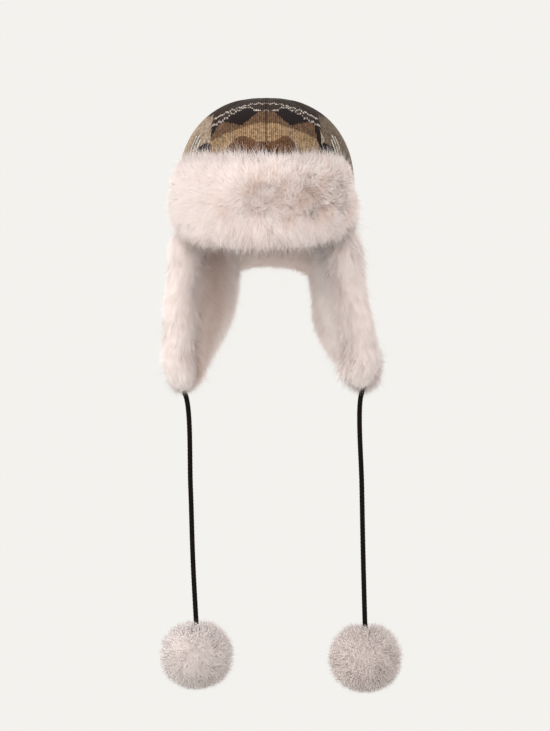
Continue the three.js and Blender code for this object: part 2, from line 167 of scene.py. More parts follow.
def curve_through(points, share):
    """Places on the smooth curve through some points. The share runs evenly over its stretches."""
    points = np.asarray(points, float)
    ends = np.vstack([2 * points[0] - points[1], points, 2 * points[-1] - points[-2]])
    along = np.clip(np.atleast_1d(share), 0, 1) * (len(points) - 1)
    start = np.minimum(along.astype(int), len(points) - 2)
    w = (along - start)[:, None]
    p0, p1, p2, p3 = (ends[start + k] for k in range(4))
    steps = ((p0, p1), (p1, p2), (p2, p3))
    d0, d1, d2 = (np.sqrt(np.linalg.norm(b - a, axis=1, keepdims=True)) for a, b in steps)
    t1 = ((p1 - p0) / d0 - (p2 - p0) / (d0 + d1) + (p2 - p1) / d1) * d1
    t2 = ((p2 - p1) / d1 - (p3 - p1) / (d1 + d2) + (p3 - p2) / d2) * d1
    return p1 + w * t1 + w**2 * (3 * (p2 - p1) - 2 * t1 - t2) + w**3 * (2 * (p1 - p2) + t1 + t2)


def evenly(points, count):
    """The same line with its points at even distances."""
    steps = np.linalg.norm(np.diff(points, axis=0), axis=1)
    along = np.concatenate([[0], np.cumsum(steps)])
    at = np.linspace(0, along[-1], count)
    return np.stack([np.interp(at, along, column) for column in points.T], 1)


def lean(azimuth, z):
    """How far a side of the hat leans out, along X."""
    down = (RIM_Z - z) / FLAP_DROP
    left = azimuth < 0
    most = np.where(left, LEFT.lean, RIGHT.lean) * smooth(down, 0.05, 0.8)
    curl = np.where(left, LEFT.curl, RIGHT.curl) * smooth(down, 0.75, 1)
    share = 1 - smooth(np.abs(azimuth), LEAN_ALL_TO, LEAN_NONE_FROM)
    return np.where(left, -1, 1) * (most - curl) * share


def wall(azimuth, z, out):
    """Points of the wall, with their distance out from the face of the hollow."""
    azimuth, z, out = np.broadcast_arrays((np.asarray(azimuth, float) + 180) % 360 - 180, z, out)
    angle = np.radians(azimuth)
    rise = np.maximum(0, z + DOME_HEIGHT) / (DOME_HEIGHT + out)
    shrink = np.maximum(0, 1 - rise**DOME_POWER) ** (1 / DOME_POWER)
    power = mix(CROWN_POWER, FLAP_POWER, smooth(-z, 110, 200))
    across = np.abs(np.sin(angle) / (HALF_WIDTH + out)) ** power
    along = np.abs(np.cos(angle) / (HALF_DEPTH + out)) ** power
    radius = shrink * (across + along) ** (-1 / power)
    return np.stack([radius * np.sin(angle) + lean(azimuth, z), -radius * np.cos(angle), z * 1.0], -1)


def ear_flap_row(down):
    """Front and rear azimuth of an ear flap and its height."""
    rows = curve_through([(row["front"], row["rear"], row["z"]) for row in EAR_FLAP_ROWS], np.ravel(down))
    return rows.T


def neck_edge(azimuth):
    return from_table(NECK_ROWS, "away", "z", np.abs(np.asarray(azimuth) - 180))


def meridian(share, out):
    """Height and plan radius at a share of the way from the top to the rim, as the gores have it."""
    angle = mix(0, np.pi / 2, np.minimum(1, share / DOME_SHARE))
    rise = np.maximum(0, np.cos(angle)) ** (2 / DOME_POWER)
    radius = np.sin(angle) ** (2 / DOME_POWER) * (HALF_WIDTH + HALF_DEPTH) / 2
    straight = mix(-DOME_HEIGHT, RIM_Z, (share - DOME_SHARE) / (1 - DOME_SHARE))
    return np.where(share <= DOME_SHARE, -DOME_HEIGHT + (DOME_HEIGHT + out) * rise, straight), radius


SHARES = np.linspace(0, 1, 2001)
MERIDIAN_Z, MERIDIAN_RADIUS = meridian(SHARES, KNIT)
MERIDIAN_RUN = np.concatenate([[0], np.cumsum(np.hypot(np.diff(MERIDIAN_Z), np.diff(MERIDIAN_RADIUS)))])


# Meshes


def closed_grid(across, down, place):
    """A grid laid round into a tube, whose edges that meet are merged and whose ends are closed.

    place gives points and UV for a step number across, from 0 to across, and a share down.
    """
    bm = bmesh.new()
    bmesh.ops.create_grid(bm, x_segments=across, y_segments=down, size=1)
    at = np.array([v.co[:2] for v in bm.verts])
    at = (at - at.min(0)) / np.ptp(at, axis=0)
    points, uv = place(np.rint(at[:, 0] * across), 1 - at[:, 1])
    layer = bm.loops.layers.uv.new("UVMap")
    for vert, point in zip(bm.verts, points):
        vert.co = point
    for face in bm.faces:
        for loop in face.loops:
            loop[layer].uv = uv[loop.vert.index]
    bmesh.ops.remove_doubles(bm, verts=bm.verts, dist=0.01)
    bmesh.ops.holes_fill(bm, edges=[e for e in bm.edges if e.is_boundary], sides=0)
    bmesh.ops.triangulate(bm, faces=[f for f in bm.faces if len(f.verts) > 4])
    bmesh.ops.recalc_face_normals(bm, faces=bm.faces)
    return bm


def in_scene(name, data):
    thing = bpy.data.objects.new(name, data)
    bpy.context.scene.collection.objects.link(thing)
    return thing


def object_of(name, mesh, material):
    mesh.materials.append(material)
    return in_scene(name, mesh)


def dress(piece, slot, *nodes):
    """A finished piece rides on the hat's one body and stands for its solids."""
    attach(piece, "root")
    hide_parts(*nodes)
    return piece


def mesh_of(bm, name):
    for vert in bm.verts:
        vert.co *= MM
    mesh = bpy.data.meshes.new(name)
    bm.to_mesh(mesh)
    bm.free()
    mesh.shade_smooth()
    return mesh


# Materials


def colour(text):
    """A colour written as six hex digits, as the shader's own numbers."""
    parts = [int(text[k : k + 2], 16) / 255 for k in (0, 2, 4)]
    return (*[p / 12.92 if p <= 0.04045 else ((p + 0.055) / 1.055) ** 2.4 for p in parts], 1)


def feed(tree, pin, value):
    """Gives an input a value, or joins it to a socket or a wire."""
    if isinstance(value, Wire):
        value = value.socket
    if isinstance(value, bpy.types.NodeSocket):
        tree.links.new(value, pin)
    else:
        pin.default_value = value


def new_node(tree, kind, inputs, **settings):
    """A node with its settings, and with what feeds each of its inputs."""
    node = tree.nodes.new("ShaderNode" + kind)
    for name, value in settings.items():
        setattr(node, name, value)
    for pin, value in inputs.items():
        feed(tree, node.inputs[pin], value)
    return node


class Wire:
    """A number in a material's tree, which takes plain arithmetic."""

    def __init__(self, tree, socket):
        self.tree = tree
        self.socket = socket

    def calc(self, operation, *others):
        node = new_node(self.tree, "Math", dict(enumerate((self, *others))), operation=operation)
        return Wire(self.tree, node.outputs[0])

    def __add__(self, other):
        return self.calc("ADD", other)

    def __sub__(self, other):
        return self.calc("SUBTRACT", other)

    def __mul__(self, other):
        return self.calc("MULTIPLY", other)

    def __truediv__(self, other):
        return self.calc("DIVIDE", other)


def plain_material(name, inputs):
    """A material and its main shader."""
    material = bpy.data.materials.new(name)
    material.use_nodes = True
    shader = material.node_tree.nodes["Principled BSDF"]
    for pin, value in inputs.items():
        shader.inputs[pin].default_value = value
    return material, shader


def new_material(name, roughness, sheen):
    """A material, its tree, its main shader and its UV map as two numbers."""
    inputs = {"Roughness": roughness, "Sheen Weight": sheen, "Sheen Roughness": 0.5, "Specular IOR Level": 0.1}
    material, shader = plain_material(name, inputs)
    tree = material.node_tree
    place = new_node(tree, "UVMap", {}, uv_map="UVMap")
    split = new_node(tree, "SeparateXYZ", {0: place.outputs[0]})
    u, v = (Wire(tree, split.outputs[k]) for k in (0, 1))
    return material, tree, shader, u, v


def blended(tree, share, first, second, kind="MIX"):
    """A mix of two colours, each a socket or a fixed colour."""
    node = new_node(tree, "Mix", {"Factor": share}, data_type="RGBA", blend_type=kind)
    for pin, value in zip([p for p in node.inputs if p.type == "RGBA"], (first, second)):
        feed(tree, pin, value)
    return next(p for p in node.outputs if p.type == "RGBA")


def ramp(tree, share, stops):
    """A colour that runs through named stops."""
    node = new_node(tree, "ValToRGB", {0: share})
    elements = node.color_ramp.elements
    while len(elements) < len(stops):
        elements.new(0.5)
    for element, (place, text) in zip(elements, stops):
        element.position = place
        element.color = colour(text)
    return node.outputs[0]


def broken_line(wire, rows, key, column, span_in, span_out):
    """A table's column at a number, in straight lines between the rows."""
    node = new_node(wire.tree, "FloatCurve", {"Value": wire / span_in})
    points = node.mapping.curves[0].points
    while len(points) < len(rows):
        points.new(0.5, 0.5)
    for point, row in zip(points, rows):
        point.location = (row[key] / span_in, row[column] / span_out)
        point.handle_type = "VECTOR"
    node.mapping.update()
    return Wire(wire.tree, node.outputs[0]) * span_out


# Bands of the front gores: how far below the top each begins, by the distance from the front seam
BAND_SPAN = 100
BAND_FALL = 200
UPPER_LINE = [{"away": 0, "from_top": 49}, {"away": 15, "from_top": 52}, {"away": 31, "from_top": 61},
              {"away": 54, "from_top": 74}, {"away": 73, "from_top": 87}, {"away": 100, "from_top": 100}]
LOWER_LINE = [{"away": 0, "from_top": 68}, {"away": 8, "from_top": 69}, {"away": 20, "from_top": 60},
              {"away": 33, "from_top": 69}, {"away": 50, "from_top": 84}, {"away": 66, "from_top": 92},
              {"away": 100, "from_top": 104}]
LENS_FOOT = [{"away": 0, "from_top": 70}, {"away": 8, "from_top": 72}, {"away": 18, "from_top": 86},
             {"away": 26, "from_top": 95}, {"away": 37, "from_top": 91}, {"away": 48, "from_top": 88},
             {"away": 57, "from_top": 92}, {"away": 63, "from_top": 105}, {"away": 67, "from_top": 112},
             {"away": 100, "from_top": 114}]
BROWN_FOOT = [{"away": 0, "from_top": 91}, {"away": 10, "from_top": 92}, {"away": 27, "from_top": 99},
              {"away": 46, "from_top": 106}, {"away": 63, "from_top": 114}, {"away": 100, "from_top": 124}]
CAMEL_FOOT = [{"away": 0, "from_top": 117}, {"away": 8, "from_top": 116}, {"away": 16, "from_top": 110},
              {"away": 23, "from_top": 109}, {"away": 32, "from_top": 120}, {"away": 39, "from_top": 131},
              {"away": 54, "from_top": 156}, {"away": 100, "from_top": 190}]
DEEP_FOOT = [{"away": 0, "from_top": 126}, {"away": 12, "from_top": 131}, {"away": 20, "from_top": 140},
             {"away": 100, "from_top": 190}]
LINE_HEIGHT = 2.8
JAG_LENGTH = 8
JAG_HEIGHT = 2.1

DARK_BROWN = "3F322B"
BLACK_BROWN = "1A0F10"
CREAM = "D3C4B8"
MIDDLE_BROWN = "745842"
CAMEL = "A98B69"
DEEP_BROWN = "70503A"
BEIGE = "B8A28C"
GREY_BEIGE = "7F6F5E"
PLAIN_BROWN = "7D6048"
STRIPE_GROUND = "94806B"
STRIPE_CREAM = "F0E8DC"
STITCH_SHADOW = "1A120E"

# The two cream lines with the ground below each, the bands from there down, and those that show on the
# back alone, with their distance from the line above
CREAM_LINES = [(UPPER_LINE, CREAM, DARK_BROWN), (LOWER_LINE, CREAM, BLACK_BROWN)]
BANDS = [(LENS_FOOT, MIDDLE_BROWN), (BROWN_FOOT, CAMEL), (CAMEL_FOOT, DEEP_BROWN), (DEEP_FOOT, BLACK_BROWN)]
LOWEST = [(12, CREAM), (15, DARK_BROWN), (27, MIDDLE_BROWN), (38, CAMEL), (52, DEEP_BROWN)]

# A stitch: the slant of its two legs, and how dark its own tone, its grooves and its foot may be. The
# darkening of the grooves and the foot is painted shade
STITCH_SLANT = 1.4
STITCH_TONES = 0.5
GROOVE_SHADE = 0.7
NOTCH_SHADE = 1.6
STITCH_BUMP = 0.7
STITCH_HEIGHT = 0.6


def knit_material(name, pattern):
    """Knitting from its map: a pattern in whole stitches, a tone for each one, painted shade in their grooves
    and feet, and their relief.
    """
    material, tree, shader, u, v = new_material(name, roughness=0.95, sheen=0.04)
    across = (u - 0.5) * MAP_SPAN
    down = v * MAP_SPAN
    wale = across / WALE
    column = wale.calc("ROUND")
    leg = (wale - column).calc("ABSOLUTE")
    course = down / COURSE - leg * STITCH_SLANT
    row = course.calc("FLOOR")
    base = pattern(tree, column * WALE, row * COURSE)

    number = new_node(tree, "CombineXYZ", {0: column, 1: row})
    tone = new_node(tree, "TexWhiteNoise", {"Vector": number.outputs[0]}, noise_dimensions="2D")
    stitch_tone = Wire(tree, tone.outputs["Value"]) * STITCH_TONES
    # The grooves between wales and the notch at each stitch's foot are painted shade; each stitch's own tone
    # varies at random
    groove = (leg * 2).calc("POWER", 3) * GROOVE_SHADE
    notch = (course - row - 0.5).calc("ABSOLUTE").calc("POWER", 3) * NOTCH_SHADE
    shade = stitch_tone + groove + notch
    feed(tree, shader.inputs["Base Color"], blended(tree, shade, base, colour(STITCH_SHADOW)))

    relief = {"Strength": STITCH_BUMP, "Distance": STITCH_HEIGHT * MM, "Height": (shade * -1) + 1}
    feed(tree, shader.inputs["Normal"], new_node(tree, "Bump", relief).outputs[0])
    return material


SPOT_TOP = [{"away": 0, "from_top": 199}, {"away": 58, "from_top": 145}, {"away": 66, "from_top": 119},
            {"away": 70, "from_top": 115}, {"away": 86, "from_top": 121}, {"away": 96, "from_top": 145},
            {"away": 100, "from_top": 199}]
SPOT_HEIGHT = 10
PANEL_EDGE = 67
EDGE_LEAN = 0.2
EDGE_SHIFT = 38
LEFT_LOBE = 0.2
# A darker line down each panel's seam is painted shade of its groove
SEAM_LINE = 0.8
SEAM_PAINTED_SHADE = 0.5
SIDE_TOP = 76
STRIPE_TOP = 102
STRIPES_FROM = 7
STRIPES_TO = 27
STRIPE_RAG = 9
GORE_ROW_STEP = 125
GORE_ROWS = [
    {"fall": MERIDIAN_RUN[k], "half": MERIDIAN_RADIUS[k] * math.pi / GORES}
    for k in range(0, len(SHARES), GORE_ROW_STEP)
]


def crown_pattern(side_colour, is_panel, panel_edge=PANEL_EDGE):
    """Zigzag bands on the front and back panels, with one dark edge, and stripes beside them.

    A panel's wales are counted from its seam, and a side gore's from its own middle towards the panel.
    The map's across runs to both sides of the seam, and the left lobe of the camel band is wider.
    """
    def pattern(tree, across, down):
        reach = broken_line(down, GORE_ROWS, "fall", "half", BAND_FALL, BAND_SPAN) * 3
        away = across.calc("ABSOLUTE") if is_panel else reach - across
        beside = reach - away if is_panel else across
        jag = ((away / JAG_LENGTH).calc("PINGPONG", 0.5) - 0.25) * (4 * JAG_HEIGHT)

        def starts(rows, shift=0):
            wider = across.calc("LESS_THAN", 0) * -LEFT_LOBE + 1 if rows is CAMEL_FOOT else 1
            line = broken_line(away * wider, rows, "away", "from_top", BAND_SPAN, BAND_FALL)
            return down.calc("GREATER_THAN", line + shift)

        front = colour(DARK_BROWN)
        for rows, line, ground in CREAM_LINES:
            front = blended(tree, starts(rows, jag), front, colour(line))
            front = blended(tree, starts(rows, jag + LINE_HEIGHT), front, colour(ground))
        for rows, text in BANDS:
            front = blended(tree, starts(rows), front, colour(text))
        for further, text in LOWEST:
            front = blended(tree, starts(DEEP_FOOT, jag + further), front, colour(text))
        if is_panel and panel_edge == PANEL_EDGE:
            edge = across.calc("GREATER_THAN", down * EDGE_LEAN + EDGE_SHIFT) * starts(LENS_FOOT)
            front = blended(tree, edge, front, colour(BLACK_BROWN))
        if is_panel:
            # Painted shade of the seam's groove: a darker line where the panels meet
            seam = away.calc("LESS_THAN", SEAM_LINE) * SEAM_PAINTED_SHADE
            front = blended(tree, seam, front, colour(BLACK_BROWN))

        below = down.calc("GREATER_THAN", jag * 2 + SIDE_TOP)
        side = blended(tree, below, colour(DARK_BROWN), colour(side_colour))
        ragged = (beside / (4 * WALE)).calc("PINGPONG", 1) * STRIPE_RAG
        stripe = beside.calc("GREATER_THAN", STRIPES_FROM) * beside.calc("LESS_THAN", STRIPES_TO)
        stripe = stripe * down.calc("GREATER_THAN", ragged + STRIPE_TOP)
        wale = (beside / WALE).calc("ROUND").calc("MODULO", 3)
        pale = wale.calc("LESS_THAN", 0.5)
        stripes = blended(tree, pale, colour(STRIPE_GROUND), colour(STRIPE_CREAM))
        side = blended(tree, stripe, side, stripes)
        side = blended(tree, starts(SPOT_TOP), side, colour(BLACK_BROWN))
        side = blended(tree, starts(SPOT_TOP, SPOT_HEIGHT), side, colour(CAMEL))
        return blended(tree, away.calc("GREATER_THAN", panel_edge), front, side)

    return pattern


def plain_pattern(text):
    return lambda tree, across, down: colour(text)


FUR_GLOW = 0.28


def fur_material(name, stops, tones):
    """Fur: u is a hair's own tone, and v runs from its root to its tip. Light also comes through it."""
    material, tree, shader, u, v = new_material(name, roughness=0.95, sheen=0.3)
    shade = blended(tree, 1.0, ramp(tree, v, stops), ramp(tree, u, tones), "MULTIPLY")
    feed(tree, shader.inputs["Base Color"], shade)
    through = new_node(tree, "BsdfTranslucent", {"Color": shade})
    either = new_node(tree, "MixShader", {0: FUR_GLOW, 1: shader.outputs[0], 2: through.outputs[0]})
    feed(tree, tree.nodes["Material Output"].inputs["Surface"], either.outputs[0])
    return material


FUR_STOPS = [(0.0, "96664F"), (0.2, "D6B099"), (0.5, "F6E5DB"), (1.0, "FFFBF9")]
POMPOM_STOPS = [(0.0, "A98D82"), (0.4, "E9DDD8"), (1.0, "F8F2EF")]
TONES = [(0.0, "8F776B"), (0.15, "B7A8A1"), (0.35, "F0EBE9"), (0.6, "F9F6F5"), (1.0, "FFFFFF")]

FRONT_KNIT = knit_material("knit_zigzag", crown_pattern(BEIGE, True))
BACK_KNIT = knit_material("knit_zigzag_back", crown_pattern(BEIGE, True, BAND_FALL))
BACK_SIDE_KNIT = knit_material("knit_zigzag_side", crown_pattern(BEIGE, False, BAND_FALL))
LEFT_KNIT = knit_material("knit_striped", crown_pattern(BEIGE, False))
# The right side gore takes a darker ground than the left one: partly its own colour, partly painted shade on
# the side turned from the key lamp
RIGHT_KNIT = knit_material("knit_striped_dark", crown_pattern(GREY_BEIGE, False))
PLAIN_KNIT = knit_material("knit_brown", plain_pattern(PLAIN_BROWN))
CREAM_FUR = fur_material("fur_cream", FUR_STOPS, TONES)
POMPOM_FUR = fur_material("fur_pompom", POMPOM_STOPS, TONES)


def cord_material():
    """Dark yarn: fine fibres that run with the turns of its strands."""
    material, tree, shader, u, v = new_material("cord_dark", roughness=0.9, sheen=0)
    way = new_node(tree, "CombineXYZ", {0: u * 14 + v * 9, 1: v * 3})
    fibre = new_node(tree, "TexNoise", {"Scale": 6, "Detail": 2, "Vector": way.outputs[0]})
    tone = ramp(tree, fibre.outputs[0], [(0.3, "040202"), (0.7, "140D0B")])
    feed(tree, shader.inputs["Base Color"], tone)
    return material


CORD_YARN = cord_material()


# Knitted walls. A wall is laid out in whole wales from its middle or one edge, and cut by its own edges


def knit_wall(name, node, slot, plan, material):
    """plan holds middle, in degrees, and functions of down: radius, low and high edge, and height."""
    step = WALE / 3
    rows = plan.rows
    samples = np.linspace(0, 1, 200)
    least = plan.low(samples).min()
    most = plan.high(samples).max()
    first = math.floor(least / step)
    outer = math.ceil(most / step) - first
    inner = plan.inner
    across = outer + inner + 2

    def place(column, down):
        low = plan.low(down)
        high = plan.high(down)
        outside = (column <= outer) | (column == across)
        dense = np.clip((first + np.where(column == across, 0, column)) * step, low, high)
        coarse = mix(high, low, (column - outer - 1) / inner)
        away = np.where(outside, dense, coarse)
        edge = np.minimum(away - low, high - away)
        azimuth = plan.middle + plan.sign * np.degrees((away - plan.shift(down)) / plan.radius(down))
        rib = RIB * (np.cos(2 * np.pi * away / WALE) - 1) / 2
        dip = plan.dip(down) * np.exp(-((edge / SEAM_WIDTH) ** 2))
        out = np.where(outside, KNIT + rib - dip, 0)
        z = plan.height(down, azimuth, out)
        soft = np.where(outside, 1, 0.4) * plan.slack * waves(wall(azimuth, z, 0), 38, 5)
        points = wall(azimuth, z, out + soft * smooth(edge, 0, 12))
        return points, np.stack([away / MAP_SPAN + 0.5, plan.fall(down) / MAP_SPAN], 1)

    piece = object_of(name, mesh_of(closed_grid(across, rows, place), name), material)
    return dress(piece, slot, node)


def gore_plan(k):
    """A gore's wales run with the seam down the front or back where it has one, else with its middle."""
    middle = CROWN_TURN - 180 + (k + 0.5) * 360 / GORES
    seam_side = {3: -1, 4: 1, 7: -1, 0: 1}.get(k, 0)
    half_angle = math.radians(180 / GORES)

    def share(down):
        return np.interp(down * MERIDIAN_RUN[-1], MERIDIAN_RUN, SHARES)

    def radius(down):
        return np.maximum(meridian(share(down), KNIT)[1], 1e-3)

    def half(down):
        return np.maximum(radius(down) * half_angle - GAP / 4, 0)

    return SimpleNamespace(
        middle=middle,
        sign={1: -1, 5: -1}.get(k, 1),
        rows=60,
        inner=8,
        slack=0.9,
        radius=radius,
        low=lambda down: half(down) * (seam_side - 1),
        high=lambda down: half(down) * (seam_side + 1),
        shift=lambda down: seam_side * radius(down) * half_angle,
        dip=lambda down: SEAM_DIP * (1 if seam_side else 0.5) * smooth(down, 0.05, 0.3),
        height=lambda down, azimuth, out: meridian(share(down), out)[0],
        fall=lambda down: down * MERIDIAN_RUN[-1],
    )


GORE_KNITS = [
    BACK_KNIT, BACK_SIDE_KNIT, LEFT_KNIT, FRONT_KNIT, FRONT_KNIT, RIGHT_KNIT, BACK_SIDE_KNIT, BACK_KNIT,
]
for k in range(GORES):
    name = f"crown_gore_{k + 1}"
    knit_wall(name + "_knit", name, "knit_brown" if k % 2 else "knit_camel", gore_plan(k), GORE_KNITS[k])

FLAP_RADIUS = 105
FLAP_MIDDLE = 110


def flap_plan(**own):
    """What all the flaps share: wales that run straight down, drawn in at every edge."""
    return SimpleNamespace(
        radius=lambda down: FLAP_RADIUS,
        shift=lambda down: 0,
        dip=lambda down: SEAM_DIP,
        slack=0,
        **own,
    )


def ear_flap_plan(side):
    def edge(row):
        return lambda down: np.radians(ear_flap_row(down)[row] - FLAP_MIDDLE) * FLAP_RADIUS

    return flap_plan(
        middle=side.sign * FLAP_MIDDLE,
        sign=side.sign,
        rows=48,
        inner=14,
        low=edge(0),
        high=edge(1),
        height=lambda down, azimuth, out: ear_flap_row(down)[2],
        fall=lambda down: -ear_flap_row(down)[2] + RIM_Z,
    )


def neck_flap_plan():
    reach = math.radians(NECK_ROWS[-1]["away"]) * FLAP_RADIUS
    return flap_plan(
        middle=180,
        sign=1,
        rows=10,
        inner=12,
        low=lambda down: -reach + 0 * down,
        high=lambda down: reach + 0 * down,
        height=lambda down, azimuth, out: mix(RIM_Z - GAP, neck_edge(azimuth), down),
        fall=lambda down: 25 * down,
    )


for side in (LEFT, RIGHT):
    name = "ear_flap_" + side.name
    knit_wall(name + "_knit", name, "knit_brown", ear_flap_plan(side), PLAIN_KNIT)
knit_wall("neck_flap_knit", "neck_flap", "knit_brown", neck_flap_plan(), PLAIN_KNIT)


# Fur. A surface is a function of two arrays of shares that gives points, and a skin is a closed grid

HAIR_STATIONS = np.array([0, 0.5, 1])
HAIR_TAPER = np.array([1, 0.8])
DOWN = np.array([0, 0, -1.0])

# Steps that spread many points evenly over a square
SPREAD = (0.7548776662, 0.5698402910)

# Where a skin lies in its fur's colours: its tone, and its share of the way from root to tip
DEEP_SKIN = (0.5, 0.1)
PALE_SKIN = (0.5, 0.5)


def frame_at(surface, u, v):
    """Points of a surface, its two directions and the area that a share of both covers."""
    step = 1e-3
    along = surface(np.clip(u + step, 0, 1), v) - surface(np.clip(u - step, 0, 1), v)
    down = surface(u, np.clip(v + step, 0, 1)) - surface(u, np.clip(v - step, 0, 1))
    cross = np.cross(along, down)
    return surface(u, v), unit(along), unit(down), np.linalg.norm(cross, axis=1)


def scattered(rng, surface, count):
    """Shares of a surface for evenly spread roots."""
    tries = count * 4
    k = np.arange(tries)
    u, v = ((0.5 + step * k) % 1 for step in SPREAD)
    area = frame_at(surface, u, v)[3]
    kept = rng.choice(tries, count, replace=False, p=area / area.sum())
    return u[kept], v[kept]


def along_skin(flow, out):
    return flow - out * np.sum(flow * out, 1, keepdims=True)


def hairs(rng, root, out, flow, look):
    """Curved ribbons that taper to a tip and gather in tufts, as points, faces, UV and normals.

    look.reach is how far the tips come from the skin where they lie along the flow. They stand
    straight out of the skin where there is no flow. look.curl turns the tips aside, and a few wild
    hairs are longer and thinner and keep out of the tufts.
    """
    count = len(root)
    flow = flow / np.maximum(np.linalg.norm(flow, axis=1, keepdims=True), 1)
    wild = rng.uniform(0, 1, count) < look.wild
    length = look.length * rng.uniform(1 - look.vary, 1 + look.vary, count)
    length = length * np.where(wild, look.wild_length, 1)
    steep = np.broadcast_to(look.reach / (0.9 * look.length), count)
    rise = np.arcsin(np.clip(steep, 0.05, 0.97))[:, None]
    stray = rng.normal(0, look.stray, (count, 3)) * np.where(wild, 1.6, 1)[:, None]
    start = unit(out * np.sin(rise) + flow * np.cos(rise) + stray)
    aside = look.curl + stray
    aside = aside - out * np.minimum(0, np.sum(aside * out, 1, keepdims=True))
    finish = unit(start + look.bend * flow + look.sag * DOWN + aside)
    share = HAIR_STATIONS[None, :, None]
    reach = share * start[:, None] + 0.5 * share**2 * (finish - start)[:, None]
    points = root[:, None] + length[:, None, None] * reach

    leaders = rng.choice(count, max(1, count // look.tuft), replace=False)
    tree = KDTree(len(leaders))
    for k, leader in enumerate(leaders):
        tree.insert(root[leader], k)
    tree.balance()
    nearest = np.array([tree.find(place)[1] for place in root])
    grip = look.grip * rng.uniform(0.5, 1, len(leaders))[nearest] * rng.uniform(0.3, 1, count) * ~wild
    points += (points[leaders][nearest] - points) * grip[:, None, None] * share**1.5
    points = look.shape(points)

    facing = unit(out + rng.normal(0, 0.3, (count, 3)))
    ahead = unit(points[:, -1] - points[:, 0])
    across = unit(np.cross(ahead, facing))
    own = np.cross(across, ahead)
    side = np.sign(np.sum(own * out, 1, keepdims=True))
    across, own = across * side, own * side
    width = look.width * rng.uniform(0.7, 1.3, count) * np.where(wild, 0.6, 1)
    half = across[:, None] * (width[:, None] * HAIR_TAPER / 2)[..., None]
    ring = np.stack([points[:, :-1] - half, points[:, :-1] + half], 2).reshape(count, -1, 3)
    corners = np.concatenate([ring, points[:, -1:]], 1)

    size = corners.shape[1]
    start_at = np.arange(count)[:, None] * size
    quads = np.concatenate([start_at + [k, k + 1, k + 3, k + 2] for k in range(0, size - 3, 2)])
    tips = start_at + [size - 3, size - 2, size - 1]
    tone = mix(rng.uniform(0, 1, count), rng.uniform(0, 1, len(leaders))[nearest], look.tuft_tone)
    tone = mix(look.darkest, look.brightest, tone)
    root_tone, tip_tone = (np.broadcast_to(end, count)[:, None] for end in (look.root_tone, look.tip_tone))
    v = mix(root_tone, tip_tone, np.append(np.repeat(HAIR_STATIONS[:-1], 2), 1))
    uv = np.stack(np.broadcast_arrays(tone[:, None], v), -1)
    normal = np.repeat(unit(own + look.soft * out)[:, None], size, 1)
    return SimpleNamespace(
        points=corners.reshape(-1, 3),
        quads=quads,
        tris=tips,
        uv=uv.reshape(-1, 2),
        normals=normal.reshape(-1, 3),
    )


def arrays_of(bm, tone):
    """A skin that hairs can be joined to. Its faces all have one tone."""
    bmesh.ops.triangulate(bm, faces=bm.faces)
    points = np.array([v.co for v in bm.verts])
    tris = np.array([[v.index for v in f.verts] for f in bm.faces])
    bm.normal_update()
    normals = np.array([v.normal for v in bm.verts])
    bm.free()
    uv = np.broadcast_to(tone, (len(points), 2))
    return SimpleNamespace(points=points, quads=np.zeros((0, 4), int), tris=tris, uv=uv, normals=normals)


def skin_between(across, down, surface, back, tone):
    """A closed skin between a surface and its back, which meet at all four edges."""
    def place(column, v):
        u = np.where(column <= across, column, 2 * across - column) / across
        points = np.where((column <= across)[:, None], surface(u, v), back(u, v))
        return points, np.zeros((len(v), 2))

    return arrays_of(closed_grid(2 * across, down, place), tone)


def fur_piece(name, parts, material, slot, node):
    """Joins skins and hairs into one piece."""
    offsets = np.cumsum([0] + [len(part.points) for part in parts[:-1]])
    points = np.vstack([part.points for part in parts]) * MM
    quads = np.vstack([part.quads + start for part, start in zip(parts, offsets)])
    tris = np.vstack([part.tris + start for part, start in zip(parts, offsets)])
    corners = np.concatenate([quads.ravel(), tris.ravel()]).astype(np.int32)
    starts = np.concatenate([np.arange(len(quads)) * 4, len(quads) * 4 + np.arange(len(tris)) * 3])
    mesh = bpy.data.meshes.new(name)
    mesh.vertices.add(len(points))
    mesh.vertices.foreach_set("co", points.ravel().astype(np.float32))
    mesh.loops.add(len(corners))
    mesh.loops.foreach_set("vertex_index", corners)
    mesh.polygons.add(len(starts))
    mesh.polygons.foreach_set("loop_start", starts.astype(np.int32))
    mesh.update(calc_edges=True)
    uv = np.vstack([part.uv for part in parts])[corners]
    mesh.uv_layers.new(name="UVMap").data.foreach_set("uv", uv.ravel().astype(np.float32))
    mesh.shade_smooth()
    mesh.normals_split_custom_set_from_vertices(np.vstack([part.normals for part in parts]))
    return dress(object_of(name, mesh, material), slot, node)


def fur_look(**changes):
    look = SimpleNamespace(
        length=15, vary=0.25, reach=10, stray=0.18, bend=0.5, sag=0.1, curl=0, wild=0.12,
        wild_length=1.25, tuft=45, grip=0.35, width=0.5, soft=3, root_tone=0, tip_tone=1, darkest=0.35,
        brightest=1, tuft_tone=0.4, shape=lambda points: points,
    )
    look.__dict__.update(changes)
    return look


def depth_share(u, v):
    """Thickness of fur as a share: full in the middle and none at the edges."""
    across = np.abs(2 * u - 1) ** 4
    down = np.abs(2 * v - 1) ** 3
    return np.sqrt(np.maximum(0, (1 - across) * (1 - down)))


def cuff_surface(out):
    """The cuff between its edges, at a distance out that is a function of its shares."""
    def surface(u, v):
        azimuth = (2 * u - 1) * CUFF_ROWS[-1]["away"]
        top = from_table(CUFF_ROWS, "away", "top", np.abs(azimuth))
        bottom = from_table(CUFF_ROWS, "away", "bottom", np.abs(azimuth))
        return wall(azimuth, mix(top, bottom, v), out(u, v))

    return surface


CUFF_HAIRS = 60000
CUFF_SKIN = 0.6
CUFF_SEED = 11

# How the cuff's fur lies: up at its top edge, straight out a third of the way down, and down at its foot
CUFF_LIE = [
    {"down": 0, "tilt": -1.6},
    {"down": 0.12, "tilt": -1},
    {"down": 0.3, "tilt": -0.3},
    {"down": 0.45, "tilt": 0.1},
    {"down": 0.7, "tilt": 0.5},
    {"down": 0.88, "tilt": 1},
    {"down": 1, "tilt": 1.6},
]


